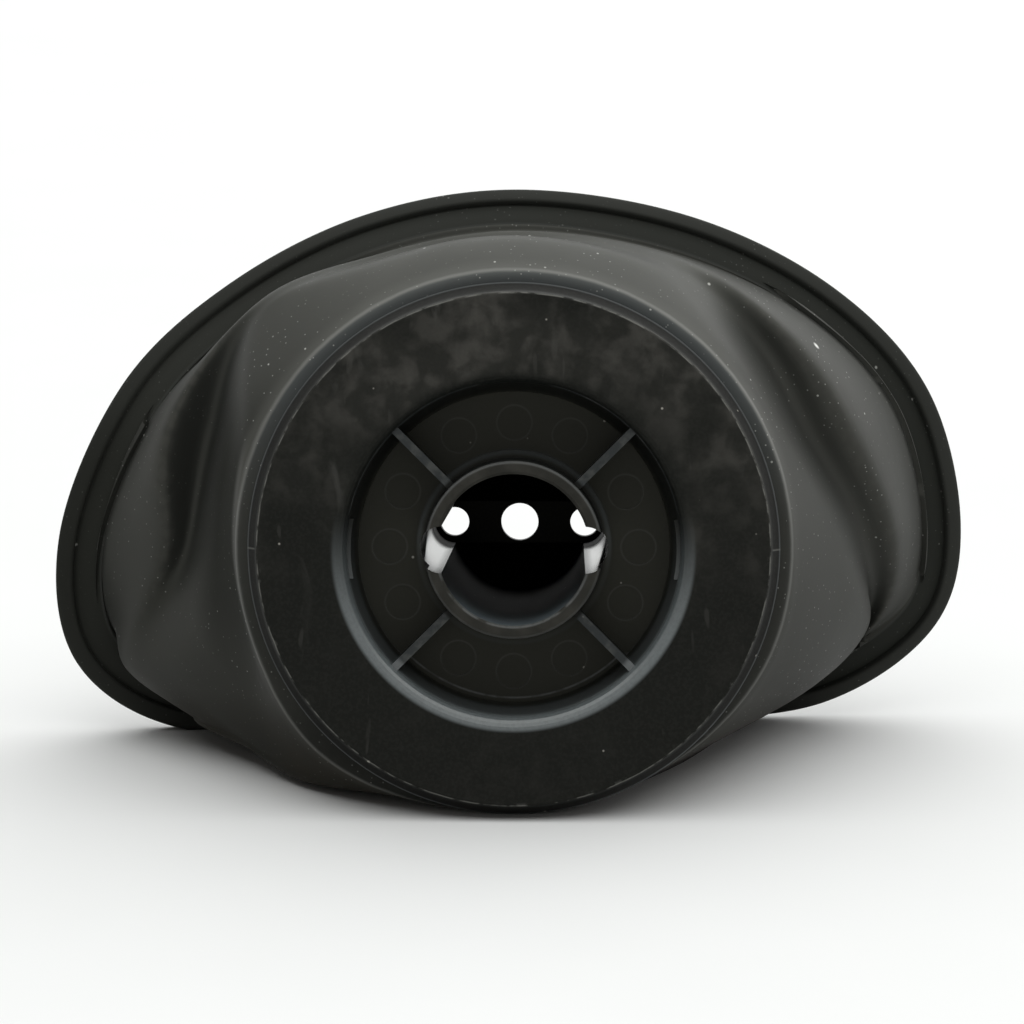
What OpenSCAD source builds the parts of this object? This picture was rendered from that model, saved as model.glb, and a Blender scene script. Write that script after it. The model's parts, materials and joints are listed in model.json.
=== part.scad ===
// Vacuum slide of a constant-velocity carburettor with its rubber diaphragm, lying on its side.
// The moulded slide rests on the rim of its disc and on the tip of its barrel. The soft flange
// stands behind the disc like a flattened hoop, and the membrane hangs in folds between the two.
//
// Slide frame: x to the right, y up in the plane of the disc, z out of the disc's face.
// A depth counts backwards from the face, along -z. Part frame: y away from the viewer, z up.

/* [Disc] */
// Diameter of the disc where the rubber meets it
disc_d = 50; // [47:0.5:53]
// Diameter of the flat face, inside the tapered side wall
face_d = 48.2; // [45:0.1:48.8]
// Height of the side wall in front of the rubber
disc_lip = 2.5; // [1.8:0.1:3.5]
// Rounding of the face's outer edge
edge_round = 0.3; // [0.1:0.05:0.5]
// Width of the groove that holds the rubber's inner bead
groove_w = 2.8; // [2.2:0.1:3.6]
// Diameter at the bottom of that groove
groove_d = 43.6; // [41:0.2:44.4]
// Diameter of the lip behind the groove
rear_lip_d = 46; // [45:0.1:46.4]
// Thickness of the lip behind the groove
rear_lip = 1.4; // [1:0.1:2]

/* [Pocket] */
// Diameter of the pocket's mouth, outside its rounding
mouth_d = 33.9; // [32:0.1:36]
// Radius of the rounding round the mouth
mouth_round = 1.35; // [0.6:0.05:1.8]
// Diameter of the pocket's floor
floor_d = 29.4; // [28.4:0.1:30.4]
// Depth of the pocket's floor below the face
pocket_depth = 5.5; // [4.5:0.1:6.5]
// Thickness of the ribs
rib_w = 0.75; // [0.5:0.05:1.2]
// Drop of the ribs below the face
rib_drop = 0.8; // [0.4:0.1:1.6]
// Half angle of the two flat lands on the pocket's wall
land_angle = 11; // [6:1:16]
// Thickness of those lands
land_t = 0.35; // [0.2:0.05:0.5]
// Diameter of the ejector marks in the floor
mark_d = 3.3; // [2.4:0.1:3.6]
// Diameter of the circle that the marks stand on
mark_ring_d = 23.5; // [23:0.1:24]
// Angle from one mark to the next in a group of three
mark_step = 26.5; // [24:0.5:28]
// Depth of the marks
mark_depth = 0.12; // [0.05:0.01:0.3]

/* [Boss] */
// Outside diameter of the boss
boss_d = 16.6; // [16.2:0.1:17.6]
// Height of the boss above the face
boss_proud = 0.5; // [0:0.1:1]
// Rounding of the boss's top edge
boss_round = 0.35; // [0.1:0.05:0.5]
// Diameter of the low collar round the foot of the boss
collar_d = 18.4; // [18:0.1:19.2]
// Height of the collar
collar_h = 0.5; // [0.2:0.1:1]
// Diameter of the bore for the spring and the needle holder
bore_d = 14.16; // [13:0.02:15]
// Chamfer of the bore's mouth
bore_chamfer = 0.25; // [0.1:0.05:0.4]
// Width of the two grooves along the bore
slot_w = 4.38; // [3.6:0.02:5]
// Distance across the grooves, end to end
slot_span = 17.8; // [17:0.1:18.2]

/* [Barrel] */
// Length of the slide from the face to the tip of the barrel
slide_len = 61; // [52:0.5:70]
// Diameter of the barrel
barrel_d = 24; // [22:0.2:28]
// Chamfer of the barrel's tip
tip_chamfer = 0.8; // [0.3:0.1:1.5]
// Thickness of the closed end
end_t = 2.6; // [2:0.1:4]
// Diameter of the hub behind the pocket
hub_d = 34; // [32:0.5:38]
// Thickness of the hub's floor behind the pocket
hub_floor = 2.2; // [1.5:0.1:3]
// Fillet between the hub and the barrel
hub_fillet = 1.6; // [0.5:0.1:2.5]
// Diameter of the needle's hole
needle_d = 3.94; // [2.5:0.02:4.4]
// Diameter of the shallow seat round the needle's hole
seat_d = 9; // [7:0.1:10]
// Depth of that seat
seat_depth = 0.3; // [0.1:0.05:0.6]
// Diameter of the two vacuum holes
vacuum_d = 3.04; // [2:0.02:3.6]
// Distance of each vacuum hole from the axis
vacuum_offset = 6.86; // [5.6:0.02:7]
// Depth of the channel across the closed end
channel_depth = 0.5; // [0.2:0.1:1]

/* [Diaphragm] */
// Thickness of the membrane
skin = 0.6; // [0.4:0.05:0.9]
// Diameter of the rolled shoulder round the disc
shoulder_d = 52.2; // [51.6:0.1:53]
// Depth of the shoulder's crest behind the face
shoulder_depth = 3; // [2.8:0.1:3.6]
// Width of the raised bead on the flange
bead_w = 1.8; // [1.2:0.1:2.4]
// Height of the raised bead
bead_h = 0.45; // [0.2:0.05:0.8]
// Width of the flat band inside the bead
band_w = 2.7; // [2:0.1:3.5]
// Thickness of the flange
flange_t = 1.3; // [0.9:0.1:1.8]

/* [Flange as it stands] */
// Width of the standing flange
ring_w = 88.6; // [84:0.2:92]
// Height of the standing flange
ring_h = 54.4; // [50:0.2:57]
// Distance of its foot behind the disc's face
ring_back = 24.8; // [22:0.2:28]
// Turn of the flange about the upright
ring_yaw = 4; // [0:0.5:8]
// Lean of the flange towards the disc
ring_lean = 2; // [0:0.5:5]

/* [Hidden] */
$fn = 96;
eps = 0.01;
// Length by which a cut goes beyond a face
beyond = 1;
slide_colour = "#26282a";
rubber_colour = "#3a3b3a";

disc_r = disc_d / 2;
face_r = face_d / 2;
groove_r = groove_d / 2;
groove_end = disc_lip + groove_w;
disc_end = groove_end + rear_lip;
mouth_r = mouth_d / 2;
floor_r = floor_d / 2;
floor_fillet = 0.5;
boss_r = boss_d / 2;
boss_draft = 0.15;
collar_r = collar_d / 2;
bore_r = bore_d / 2;
barrel_r = barrel_d / 2;
hub_r = hub_d / 2;
hub_end = pocket_depth + hub_floor;
bore_depth = slide_len - end_t;
slot_reach = slot_span / 2 - slot_w / 2;
arc_steps = 6;

// The slide lies on the edge of its disc and on the edge of its tip, so the sizes set its tilt.
tilt = atan((disc_r - barrel_r) / (slide_len - tip_chamfer - disc_lip));
face_height = disc_r * cos(tilt) + disc_lip * sin(tilt);

function arc(centre, radius, from, to) =
    [for (i = [0:arc_steps]) centre + radius * [cos(from + (to - from) * i / arc_steps),
                                                sin(from + (to - from) * i / arc_steps)]];

// Half section of the slide from the tip of the barrel, round the disc, to the top of the boss
slide_section = concat(
    [[0, -slide_len], [barrel_r - tip_chamfer, -slide_len], [barrel_r, tip_chamfer - slide_len]],
    arc([barrel_r + hub_fillet, -hub_end - hub_fillet], hub_fillet, 180, 90),
    [[hub_r, -hub_end], [hub_r, -disc_end], [rear_lip_d / 2, -disc_end],
     [rear_lip_d / 2, -groove_end], [groove_r, -groove_end], [groove_r, -disc_lip],
     [disc_r, -disc_lip]],
    arc([face_r - edge_round, -edge_round], edge_round, 0, 90),
    arc([mouth_r, -mouth_round], mouth_round, 90, 180),
    arc([floor_r + floor_fillet, floor_fillet - pocket_depth], floor_fillet, 180, 270 - eps),
    [[collar_r, -pocket_depth], [collar_r, collar_h - pocket_depth],
     [boss_r + boss_draft, collar_h - pocket_depth]],
    arc([boss_r - boss_round, boss_proud - boss_round], boss_round, 0, 90),
    [[0, boss_proud]]);

module lie() {
    translate([-ring_middle, -depth_middle, face_height])
        rotate([90 - tilt, 0, 0])
            children();
}

// Four ribs from the boss to the rounding of the pocket's mouth
module ribs() {
    rib_foot = pocket_depth + hub_floor / 2;
    for (turn = [45:90:315])
        rotate(turn)
            translate([bore_r, -rib_w / 2, -rib_foot])
                cube([mouth_r - bore_r, rib_w, rib_foot - rib_drop]);
}

// Flat lands on the pocket's wall, left and right, where the two halves of the mould met
module lands() {
    land_w = 2 * floor_r * sin(land_angle);
    for (side = [0, 180])
        rotate(side)
            intersection() {
                translate([floor_r / 2, -land_w / 2, -pocket_depth - hub_floor / 2])
                    cube([mouth_r - floor_r / 2, land_w, pocket_depth + hub_floor / 2 - mouth_round]);
                difference() {
                    translate([0, 0, -pocket_depth - hub_floor])
                        cylinder(r = mouth_r, h = pocket_depth + hub_floor);
                    translate([0, 0, -pocket_depth - hub_floor - eps])
                        cylinder(r = mouth_r - mouth_round - land_t, h = pocket_depth + hub_floor + beyond);
                }
            }
}

module ejector_marks() {
    for (quarter = [0:90:270], step = [-mark_step, 0, mark_step])
        rotate(quarter + step)
            translate([mark_ring_d / 2, 0, -pocket_depth - mark_depth])
                cylinder(d = mark_d, h = mark_depth + eps);
}

// Round bore with a groove on either side, both down to the closed end
module bore_and_grooves() {
    bore_top = boss_proud + beyond;
    translate([0, 0, -bore_depth])
        cylinder(r = bore_r, h = bore_depth + bore_top);
    translate([0, 0, boss_proud - bore_chamfer])
        cylinder(r1 = bore_r, r2 = bore_r + bore_chamfer + eps, h = bore_chamfer + eps);
    translate([0, 0, -bore_depth - channel_depth])
        linear_extrude(bore_depth + channel_depth + bore_top) {
            square([2 * slot_reach, slot_w], center = true);
            for (side = [-1, 1])
                translate([side * slot_reach, 0])
                    circle(d = slot_w);
        }
}

// Needle hole in its seat, with a vacuum hole in the foot of each groove
module end_holes() {
    translate([0, 0, -bore_depth - seat_depth])
        cylinder(d = seat_d, h = seat_depth + eps);
    for (hole = [[0, needle_d], [-vacuum_offset, vacuum_d], [vacuum_offset, vacuum_d]])
        translate([hole[0], 0, -slide_len - beyond])
            cylinder(d = hole[1], h = end_t + 2 * beyond);
}

module vacuum_slide() {
    color(slide_colour)
        lie()
            difference() {
                union() {
                    rotate_extrude()
                        polygon(slide_section);
                    ribs();
                    lands();
                }
                bore_and_grooves();
                end_holes();
                ejector_marks();
            }
}

// The diaphragm is a loft. Sixteen meridians run from the disc to the flange, and each guide
// below has one entry a meridian, anticlockwise from the right as the viewer sees the disc.
meridians = 16;
per_meridian = 6;
per_guide = 4;
rounds = meridians * per_meridian;
bead_gap = 0.05;

// Flange edge as it stands: share of the half width to the right, share of the height
flange_edge = [[0.990, 0.365], [0.910, 0.622], [0.695, 0.815], [0.380, 0.948],
               [0.005, 1.000], [-0.330, 0.957], [-0.630, 0.832], [-0.862, 0.652],
               [-1.008, 0.378], [-0.980, 0.135], [-0.750, 0.003], [-0.360, 0.000],
               [0.000, 0.000], [0.340, 0.000], [0.690, 0.033], [0.930, 0.170]];
// Turn of the flange's band about its edge, positive where it faces outwards
flange_turn = [30, 30, 36, 40, 45, 42, 35, 25, 10, 0, 0, 0, 0, 0, 30, 38];
// Flattening of the shoulder where the disc's weight presses on it
shoulder_press = [0, 0, 0, 0, 0, 0, 0, 0, 0, 0, -0.35, 0.35, 1, 1, 0.5, 0];
shoulder_give = 1.4;
// Folds: share of the way out to the flange, share of the way back to it, and lift in mm
fold_crest = [[0.34, 0.38, 0], [0.12, 0.18, 0], [0.15, 0.15, 0], [0.42, 0.38, 0.5],
              [0.70, 0.48, 0], [0.60, 0.48, 0.5], [0.62, 0.50, 1.2], [0.16, 0.14, 0],
              [0.08, 0.18, 0], [0.10, 0.14, 0], [0.28, 0.26, -3], [0.60, 0.14, -5],
              [0.25, 0.28, -0.6], [0.30, 0.24, -3], [0.70, 0.68, -2], [0.70, 0.72, -0.5]];
fold_valley = [[0.55, 0.66, 0], [0.29, 0.46, 0], [0.40, 0.54, 0], [0.70, 0.62, 0],
               [0.66, 0.80, 0], [0.75, 0.78, 0], [0.75, 0.66, 1.9], [0.44, 0.86, 0],
               [0.35, 0.70, 0], [0.62, 0.54, -0.8], [0.60, 0.46, -2.5], [1.00, 0.48, -7],
               [0.38, 0.53, 0], [0.70, 0.45, -6], [0.78, 1.00, -1], [0.72, 0.98, 0]];
fold_ridge = [[0.78, 0.70, 0], [0.62, 0.47, 0], [0.70, 0.54, 0], [0.88, 0.80, 0],
              [0.84, 0.94, 0], [0.88, 0.90, 0], [0.82, 0.78, 2.2], [0.80, 0.70, 0],
              [0.57, 0.66, 0], [0.93, 0.80, -1.6], [0.94, 0.70, -2.5], [1.20, 0.75, -8],
              [0.53, 0.79, 0], [0.90, 0.67, -6], [0.90, 1.04, -1], [0.84, 0.94, 0]];
// Tuck from which the membrane leaves the flange: mm inside and mm behind its lip
lip_tuck = [[0.4, -0.3], [0.4, -0.3], [0.4, -0.3], [0.5, 0.1], [0.6, 0.3], [0.6, 0.3],
            [0.4, 0.2], [0.4, -0.2], [0.4, -0.2], [0.4, -0.1], [0.4, 0.3], [0.5, 0.8],
            [0.5, 0.8], [0.5, 0.8], [0.5, 0.3], [0.6, 0.0]];

// Catmull-Rom curve through four rows, and a closed one through all rows of a guide
function between(a, b, c, d, s) =
    (2 * b + (c - a) * s + (2 * a - 5 * b + 4 * c - d) * s * s
     + (3 * b - a - 3 * c + d) * s * s * s) / 2;
function around(guide) =
    [for (i = [0:meridians - 1], j = [0:per_meridian - 1])
        between(guide[(i + meridians - 1) % meridians], guide[i], guide[(i + 1) % meridians],
                guide[(i + 2) % meridians], j / per_meridian)];
function unit(v) = v / norm(v);

// Points are [x, y, -depth] in the slide frame. The part frame has the slide lying down.
function to_part(p) =
    [p[0] - ring_middle, p[1] * sin(tilt) - p[2] * cos(tilt) - depth_middle,
     face_height + p[1] * cos(tilt) + p[2] * sin(tilt)];
function to_slide(x, back, height) =
    [x, back * sin(tilt) + (height - face_height) * cos(tilt),
     (height - face_height) * sin(tilt) - back * cos(tilt)];
function lifted(p, lift) = p + lift * [0, cos(tilt), sin(tilt)];
function off_table(p, clear) = [p[0], p[1], max(p[2], clear)];

// Outer edge of the flange, its inward and its depth direction, and its lip
edge_share = around(flange_edge);
edge_line = [for (e = edge_share)
    let (x = e[0] * ring_w / 2, height = max(e[1], 0) * ring_h)
        to_slide(x, ring_back + x * tan(ring_yaw) - height * tan(ring_lean), height)];
edge_run = [for (i = [0:rounds - 1])
    unit(edge_line[(i + 1) % rounds] - edge_line[(i + rounds - 1) % rounds])];
edge_in = [for (run = edge_run) unit([-run[1], run[0], 0])];
edge_front = [for (i = [0:rounds - 1])
    let (front = cross(edge_run[i], edge_in[i])) front * sign(front[2])];
edge_turn = around(flange_turn);
band_in = [for (i = [0:rounds - 1])
    edge_in[i] * cos(edge_turn[i]) + edge_front[i] * sin(edge_turn[i])];
band_front = [for (i = [0:rounds - 1])
    edge_front[i] * cos(edge_turn[i]) - edge_in[i] * sin(edge_turn[i])];
lip_line = edge_line + (bead_w + band_w) * band_in;

// Middle of the flange across, and middle of the whole part from front to back
edge_x = [for (p = edge_line) p[0]];
ring_middle = (min(edge_x) + max(edge_x)) / 2;
depth_front = edge_round * (cos(tilt) - 1) - (face_r - edge_round) * sin(tilt);
depth_back = slide_len * cos(tilt) + (barrel_r - tip_chamfer) * sin(tilt);
depth_middle = (depth_front + depth_back) / 2;

// Rolled shoulder round the disc
function disc_ring(radius, depth) =
    [for (i = [0:rounds - 1]) [radius * cos(360 * i / rounds), radius * sin(360 * i / rounds), -depth]];
press = around(shoulder_press);
function shoulder_ring(radius, depth) =
    [for (i = [0:rounds - 1])
        let (r = radius - shoulder_give * press[i])
            [r * cos(360 * i / rounds), r * sin(360 * i / rounds), -depth]];
rim_line = disc_ring(disc_r, disc_lip + bead_gap);
rise_line = shoulder_ring(disc_r + 0.6 * (shoulder_d - disc_d) / 2, disc_lip + 2 * bead_gap);
shoulder_line = shoulder_ring(shoulder_d / 2, shoulder_depth);

function fold_line(guide) =
    let (share = around(guide))
        [for (i = [0:rounds - 1])
            let (a = shoulder_line[i], b = lip_line[i], s = share[i])
                lifted([a[0] + s[0] * (b[0] - a[0]), a[1] + s[0] * (b[1] - a[1]),
                        a[2] + s[1] * (b[2] - a[2])], s[2])];
tuck = around(lip_tuck);
tuck_line = [for (i = [0:rounds - 1])
    lip_line[i] + tuck[i][0] * band_in[i] - tuck[i][1] * band_front[i]];
guide_lines = [rise_line, shoulder_line, fold_line(fold_crest), fold_line(fold_valley),
               fold_line(fold_ridge), tuck_line, lip_line, lip_line - band_in];
membrane_lines = [for (k = [1:len(guide_lines) - 3], j = [0:per_guide - 1])
    [for (i = [0:rounds - 1])
        between(guide_lines[k - 1][i], guide_lines[k][i], guide_lines[k + 1][i],
                guide_lines[k + 2][i], j / per_guide)]];
bead_foot_line = lip_line - band_w * band_in;
bead_inner_line = bead_foot_line - 0.15 * band_in + bead_h * band_front;
bead_outer_line = edge_line + 0.25 * band_in + bead_h * band_front;

// Front of the rubber from the rim of the disc out to the edge of the flange
front_lines = [for (line = concat([rim_line, rise_line], membrane_lines,
                                  [lip_line, bead_foot_line, bead_inner_line, bead_outer_line,
                                   edge_line]))
    [for (p = line) off_table(to_part(p), 0)]];
lip_place = len(membrane_lines) + 2;
last = len(front_lines) - 1;

// Back of the rubber: the membrane keeps its thickness, the flange and the bead are thicker.
function thickness(k) =
    k < lip_place - 1 ? skin
    : k <= lip_place + 1 ? flange_t
    : k < last ? flange_t + bead_h
    : flange_t;
function normal(k, i) =
    unit(cross(front_lines[k][(i + 1) % rounds] - front_lines[k][(i + rounds - 1) % rounds],
               front_lines[min(k + 1, last)][i] - front_lines[k - 1][i]));
back_lines = [for (k = [3:last])
    [for (i = [0:rounds - 1])
        off_table(front_lines[k][i] + thickness(k) * normal(k, i), k < lip_place ? skin : 0)]];

// Inner bead in the disc's groove
bead_in_front = disc_ring(groove_r + 2 * bead_gap, disc_lip + bead_gap);
bead_in_back = disc_ring(groove_r + 2 * bead_gap, groove_end - bead_gap);
bead_out_back = disc_ring(rear_lip_d / 2 + bead_gap, groove_end - bead_gap);
root_back = shoulder_ring(shoulder_d / 2 - skin, groove_end - bead_gap);
closing_lines = [for (line = [root_back, bead_out_back, bead_in_back, bead_in_front])
    [for (p = line) off_table(to_part(p), skin)]];

// All lines in order, once round the section of the rubber
section_lines = concat(front_lines, [for (k = [len(back_lines) - 1:-1:0]) back_lines[k]],
                       closing_lines);
stations = len(section_lines);

module diaphragm() {
    points = [for (line = section_lines) each line];
    faces = [for (k = [0:stations - 1], i = [0:rounds - 1])
        let (next_line = ((k + 1) % stations) * rounds, next = (i + 1) % rounds)
            each [[k * rounds + i, next_line + next, next_line + i],
                  [k * rounds + i, k * rounds + next, next_line + next]]];
    color(rubber_colour)
        polyhedron(points, faces, convexity = 10);
}

vacuum_slide();
diaphragm();
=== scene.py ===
"""Diaphragm of a constant-velocity carburettor on its vacuum slide, lying on a pale floor.

The slide keeps its construction and gets a moulded-plastic finish. The rubber is a fine closed
loft from the rim of the slide's disc, over the folds of the membrane, to the bead of the flange.
A depth counts backwards from the face of the disc, along the slide's axis.
"""

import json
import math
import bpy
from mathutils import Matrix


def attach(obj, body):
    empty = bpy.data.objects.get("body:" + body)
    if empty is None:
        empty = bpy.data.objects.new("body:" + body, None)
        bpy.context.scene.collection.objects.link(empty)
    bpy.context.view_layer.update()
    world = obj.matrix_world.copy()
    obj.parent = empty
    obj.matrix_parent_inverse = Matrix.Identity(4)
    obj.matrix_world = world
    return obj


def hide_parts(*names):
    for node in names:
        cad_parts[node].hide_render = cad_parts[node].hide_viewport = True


bl_info = {
    "name": "Carburettor Diaphragm",
    "version": (1, 0, 0),
    "blender": (4, 5, 0),
    "location": "View3D > Sidebar > Diaphragm",
    "description": "Lofts the rubber diaphragm, finishes the slide and sets the stage",
    "category": "Add Mesh",
}

from functools import reduce
from operator import mul
from types import SimpleNamespace

import bpy
import numpy as np
from bpy.props import FloatProperty, FloatVectorProperty, PointerProperty
from mathutils import Vector

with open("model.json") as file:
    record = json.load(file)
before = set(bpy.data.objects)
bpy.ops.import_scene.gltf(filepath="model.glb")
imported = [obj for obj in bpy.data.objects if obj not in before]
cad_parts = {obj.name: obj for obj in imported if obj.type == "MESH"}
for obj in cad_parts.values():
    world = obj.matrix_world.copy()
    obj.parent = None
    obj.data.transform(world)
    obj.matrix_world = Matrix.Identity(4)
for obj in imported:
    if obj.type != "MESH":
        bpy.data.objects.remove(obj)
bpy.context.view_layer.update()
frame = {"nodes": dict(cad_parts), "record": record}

MM = 0.001

# The slide lies on the edge of its disc and on the tip of its barrel. Its barrel's mount gives the
# axis, and the straight wall of the barrel ends at a known depth behind the face.
BARREL_WALL_END = 60.2 * MM
BARREL = next(m for m in frame["record"]["mounts"] if m["name"] == "barrel")
RIGHT = np.array([1.0, 0.0, 0.0])
ALONG = np.array(BARREL["axis"])
UP = np.cross(RIGHT, ALONG)
FACE = np.array(BARREL["pos_m"]) - ALONG * (BARREL_WALL_END - BARREL["dims"]["length_mm"] * MM / 2)

DISC_R = 25 * MM
DISC_LIP = 2.5 * MM
FACE_R = 24.1 * MM
GROOVE_R = 21.8 * MM
GROOVE_END = 5.3 * MM
REAR_LIP_R = 23 * MM
BEAD_GAP = 0.05 * MM


class DiaphragmSizes(bpy.types.PropertyGroup):
    """Sizes of the rubber"""

    skin: FloatProperty(
        name="Skin", description="Thickness of the membrane", default=0.6 * MM, unit="LENGTH"
    )
    shoulder_r: FloatProperty(
        name="Shoulder",
        description="Radius of the rolled shoulder",
        default=26.1 * MM,
        unit="LENGTH",
    )
    shoulder_depth: FloatProperty(
        name="Shoulder depth",
        description="Depth of the shoulder's crest behind the face",
        default=3 * MM,
        unit="LENGTH",
    )
    bead_w: FloatProperty(
        name="Bead width", description="Width of the raised bead", default=1.8 * MM, unit="LENGTH"
    )
    bead_h: FloatProperty(
        name="Bead height",
        description="Height of the raised bead",
        default=0.45 * MM,
        unit="LENGTH",
    )
    band_w: FloatProperty(
        name="Band width", description="Width of the flat band", default=2.7 * MM, unit="LENGTH"
    )
    flange_t: FloatProperty(
        name="Flange", description="Thickness of the flange", default=1.3 * MM, unit="LENGTH"
    )
    ring_w: FloatProperty(
        name="Width",
        description="Width of the standing flange",
        default=88.6 * MM,
        unit="LENGTH",
    )
    ring_h: FloatProperty(
        name="Height",
        description="Height of the standing flange",
        default=54.4 * MM,
        unit="LENGTH",
    )
    ring_back: FloatProperty(
        name="Back",
        description="Distance of the flange's foot behind the face",
        default=24.8 * MM,
        unit="LENGTH",
    )
    ring_yaw: FloatProperty(
        name="Yaw",
        description="Turn of the flange about the upright",
        default=math.radians(4),
        unit="ROTATION",
    )
    ring_lean: FloatProperty(
        name="Lean",
        description="Lean of the flange towards the disc",
        default=math.radians(2),
        unit="ROTATION",
    )


class RubberFinish(bpy.types.PropertyGroup):
    """Colours of the rubber"""

    membrane: FloatVectorProperty(
        name="Membrane",
        description="Colour of the membrane",
        default=(0.0255, 0.026, 0.0232),
        subtype="COLOR",
    )
    flange: FloatVectorProperty(
        name="Flange",
        description="Colour of the flange",
        default=(0.0165, 0.0175, 0.0153),
        subtype="COLOR",
    )
    worn: FloatVectorProperty(
        name="Worn",
        description="Colour of rubbed folds",
        default=(0.11, 0.105, 0.095),
        subtype="COLOR",
    )
    dust: FloatVectorProperty(
        name="Dust",
        description="Colour of dust and grit",
        default=(0.55, 0.55, 0.52),
        subtype="COLOR",
    )


class PlasticFinish(bpy.types.PropertyGroup):
    """Colours of the slide"""

    face: FloatVectorProperty(
        name="Face",
        description="Colour of the disc's face",
        default=(0.0035, 0.004, 0.0036),
        subtype="COLOR",
    )
    pocket: FloatVectorProperty(
        name="Pocket",
        description="Colour of the pocket's floor",
        default=(0.0195, 0.0195, 0.0155),
        subtype="COLOR",
    )
    worn: FloatVectorProperty(
        name="Worn",
        description="Colour of rubbed edges",
        default=(0.2, 0.2, 0.185),
        subtype="COLOR",
    )


class StageSettings(bpy.types.PropertyGroup):
    """Camera, floor and light"""

    distance: FloatProperty(
        name="Distance", description="Camera's distance from the face", default=0.44, unit="LENGTH"
    )
    lens: FloatProperty(
        name="Lens", description="Focal length in millimetres", default=166.1, unit="CAMERA"
    )
    sun: FloatProperty(name="Sun", description="Strength of the overhead light", default=3.0)
    side: FloatProperty(
        name="Side", description="Brightness of the lamp at the right", default=0.9
    )
    ambient: FloatProperty(
        name="Ambient", description="Strength of the surrounding light", default=0.11
    )
    floor: FloatVectorProperty(
        name="Floor", description="Colour of the floor", default=(0.9, 0.9, 0.9), subtype="COLOR"
    )


class Socket:
    """Output of a shader node. Python's operators on it add Math nodes."""

    def __init__(self, graph, link):
        self.graph = graph
        self.link = link

    def maths(self, operation, *values):
        return self.graph.node("ShaderNodeMath", {"operation": operation}, list(values))

    def __add__(self, other):
        return self.maths("ADD", self, other)

    def __radd__(self, other):
        return self.maths("ADD", other, self)

    def __sub__(self, other):
        return self.maths("SUBTRACT", self, other)

    def __rsub__(self, other):
        return self.maths("SUBTRACT", other, self)

    def __mul__(self, other):
        return self.maths("MULTIPLY", self, other)

    def __rmul__(self, other):
        return self.maths("MULTIPLY", other, self)

    def __pow__(self, other):
        return self.maths("POWER", self, other)

    def __rpow__(self, other):
        return self.maths("POWER", other, self)

    def __lt__(self, other):
        return self.maths("LESS_THAN", self, other)

    def __gt__(self, other):
        return self.maths("GREATER_THAN", self, other)

    def __abs__(self):
        return self.maths("ABSOLUTE", self)

    def either(self, other):
        """The greater of two, which joins two masks"""
        return self.maths("MAXIMUM", self, other)

    def lesser(self, other):
        return self.maths("MINIMUM", self, other)


class Graph:
    """Nodes of one material or of the world"""

    def __init__(self, tree):
        self.tree = tree
        tree.nodes.clear()

    def node(self, kind, settings, inputs, out=0):
        """Adds a node: its settings first, then values or links for its sockets."""
        made = self.tree.nodes.new(kind)
        for name, value in settings.items():
            setattr(made, name, value)
        pairs = inputs.items() if isinstance(inputs, dict) else enumerate(inputs)
        for name, value in pairs:
            if isinstance(value, Socket):
                self.tree.links.new(value.link, made.inputs[name])
            else:
                made.inputs[name].default_value = value
        return Socket(self, made.outputs[out]) if made.outputs else None

    def place(self):
        return self.node("ShaderNodeTexCoord", {}, {}, "Object")

    def attribute(self, name):
        """Value that the mesh carries at its points"""
        return self.node("ShaderNodeAttribute", {"attribute_name": name}, {}, "Fac")

    def dot(self, vector, direction):
        inputs = [vector, list(direction)]
        return self.node("ShaderNodeVectorMath", {"operation": "DOT_PRODUCT"}, inputs, "Value")

    def slide_place(self):
        """Place in the slide's frame in millimetres: right, up, depth and distance from the axis"""
        inputs = [self.place(), list(FACE)]
        offset = self.node("ShaderNodeVectorMath", {"operation": "SUBTRACT"}, inputs)
        across, upward, depth = (self.dot(offset, d / MM) for d in (RIGHT, UP, ALONG))
        return across, upward, depth, (across * across + upward * upward) ** 0.5

    def step(self, value, low, high):
        """0 below low, 1 above high, smooth between. Low may be above high."""
        inputs = {"Value": value, "From Min": low, "From Max": high}
        return self.node("ShaderNodeMapRange", {"interpolation_type": "SMOOTHSTEP"}, inputs)

    def near(self, value, centre, width):
        """1 at the centre, 0 from a width away"""
        return self.step(abs(value - centre), width, 0)

    def stretched(self, stretch, turn):
        """The object's place, stretched and then turned by degrees about the line of sight"""
        inputs = {"Vector": self.place(), "Rotation": (0, math.radians(turn), 0), "Scale": stretch}
        return self.node("ShaderNodeMapping", {}, inputs)

    def noise(self, scale, detail=3.0, stretch=(1, 1, 1), distortion=0.0, turn=0.0):
        """Noise from 0 to 1. The scale counts features in a metre."""
        vector = self.stretched(stretch, turn)
        inputs = {"Vector": vector, "Scale": scale, "Detail": detail, "Distortion": distortion}
        return self.node("ShaderNodeTexNoise", {}, inputs, "Fac")

    def specks(self, scale, radius, share, stretch=(1, 1, 1), turn=0.0):
        """Small round dust specks: radius in cells, in a share of the cells"""
        inputs = {"Vector": self.stretched(stretch, turn), "Scale": scale}
        distance = self.node("ShaderNodeTexVoronoi", {"feature": "F1"}, inputs, "Distance")
        colour = self.node("ShaderNodeTexVoronoi", {"feature": "F1"}, inputs, "Color")
        chance = self.node("ShaderNodeSeparateColor", {}, {"Color": colour}, "Red")
        return self.step(distance, radius, 0.4 * radius) * (chance < share)

    def mix(self, factor, first, second):
        """Blend of two colours"""
        colours = [c if isinstance(c, Socket) else (*c, 1) for c in (first, second)]
        inputs = {0: factor, 6: colours[0], 7: colours[1]}
        return self.node("ShaderNodeMix", {"data_type": "RGBA", "clamp_factor": True}, inputs, 2)

    def blend(self, factor, first, second):
        """Blend of two numbers"""
        return self.node("ShaderNodeMix", {"clamp_factor": True}, {0: factor, 2: first, 3: second})

    def output(self, shader):
        self.node("ShaderNodeOutputMaterial", {}, {"Surface": shader})


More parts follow.
